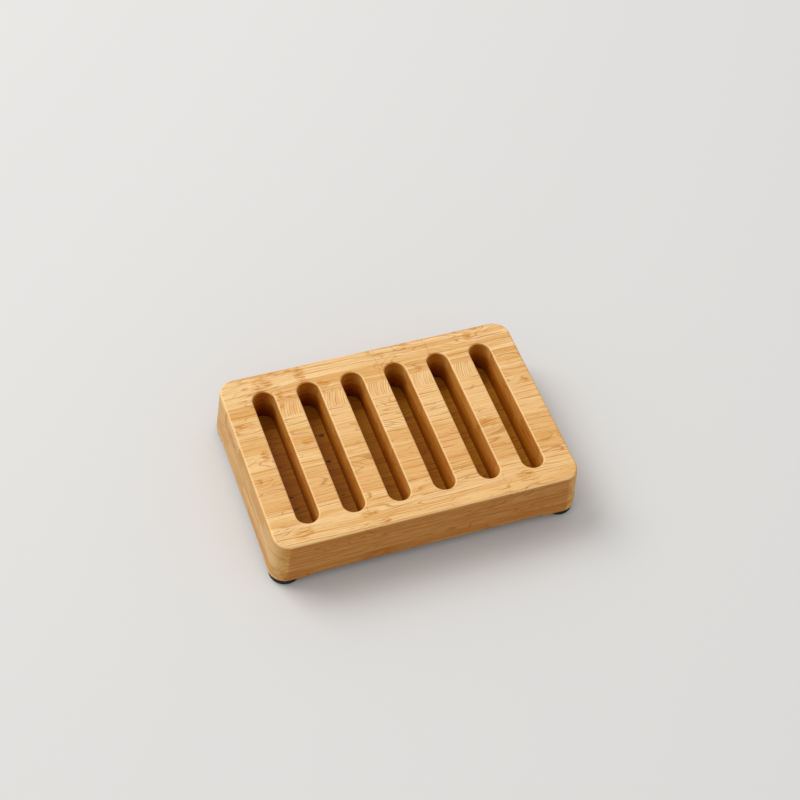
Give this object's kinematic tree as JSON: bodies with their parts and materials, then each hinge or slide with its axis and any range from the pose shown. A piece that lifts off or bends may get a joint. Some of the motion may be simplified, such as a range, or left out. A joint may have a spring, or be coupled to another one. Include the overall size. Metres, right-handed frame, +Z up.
{
  "type": "soap dish",
  "caption": "Rectangular laminated bamboo soap dish with rounded corners, long round-ended blind drain slots in its flat top, and rubber feet.",
  "frame": {"origin": "middle of the rectangle that the dish stands on, on the ground under the feet", "axes": "+X along the long side, +Y from the front to the back, +Z up through the slotted top"},
  "size_m": [0.1199, 0.08, 0.0232],
  "materials": {
    "bamboo": "smooth sanded and oiled, satin",
    "rubber": "matte",
    "adhesive": "matte foam tape"
  },
  "bodies": {
    "root": {"top_ply_front_strip": "bamboo", "top_ply_front_middle_strip": "bamboo", "top_ply_centre_strip": "bamboo", "top_ply_rear_middle_strip": "bamboo", "top_ply_rear_strip": "bamboo", "core_ply_front_strip": "bamboo", "core_ply_front_inner_strip": "bamboo", "core_ply_rear_inner_strip": "bamboo", "core_ply_rear_strip": "bamboo", "base_ply_front_strip": "bamboo", "base_ply_front_middle_strip": "bamboo", "base_ply_centre_strip": "bamboo", "base_ply_rear_middle_strip": "bamboo", "base_ply_rear_strip": "bamboo", "front_left_foot": "rubber", "front_left_adhesive_disc": "adhesive", "front_right_foot": "rubber", "front_right_adhesive_disc": "adhesive", "rear_left_foot": "rubber", "rear_left_adhesive_disc": "adhesive", "rear_right_foot": "rubber", "rear_right_adhesive_disc": "adhesive"}
  },
  "joints": []
}
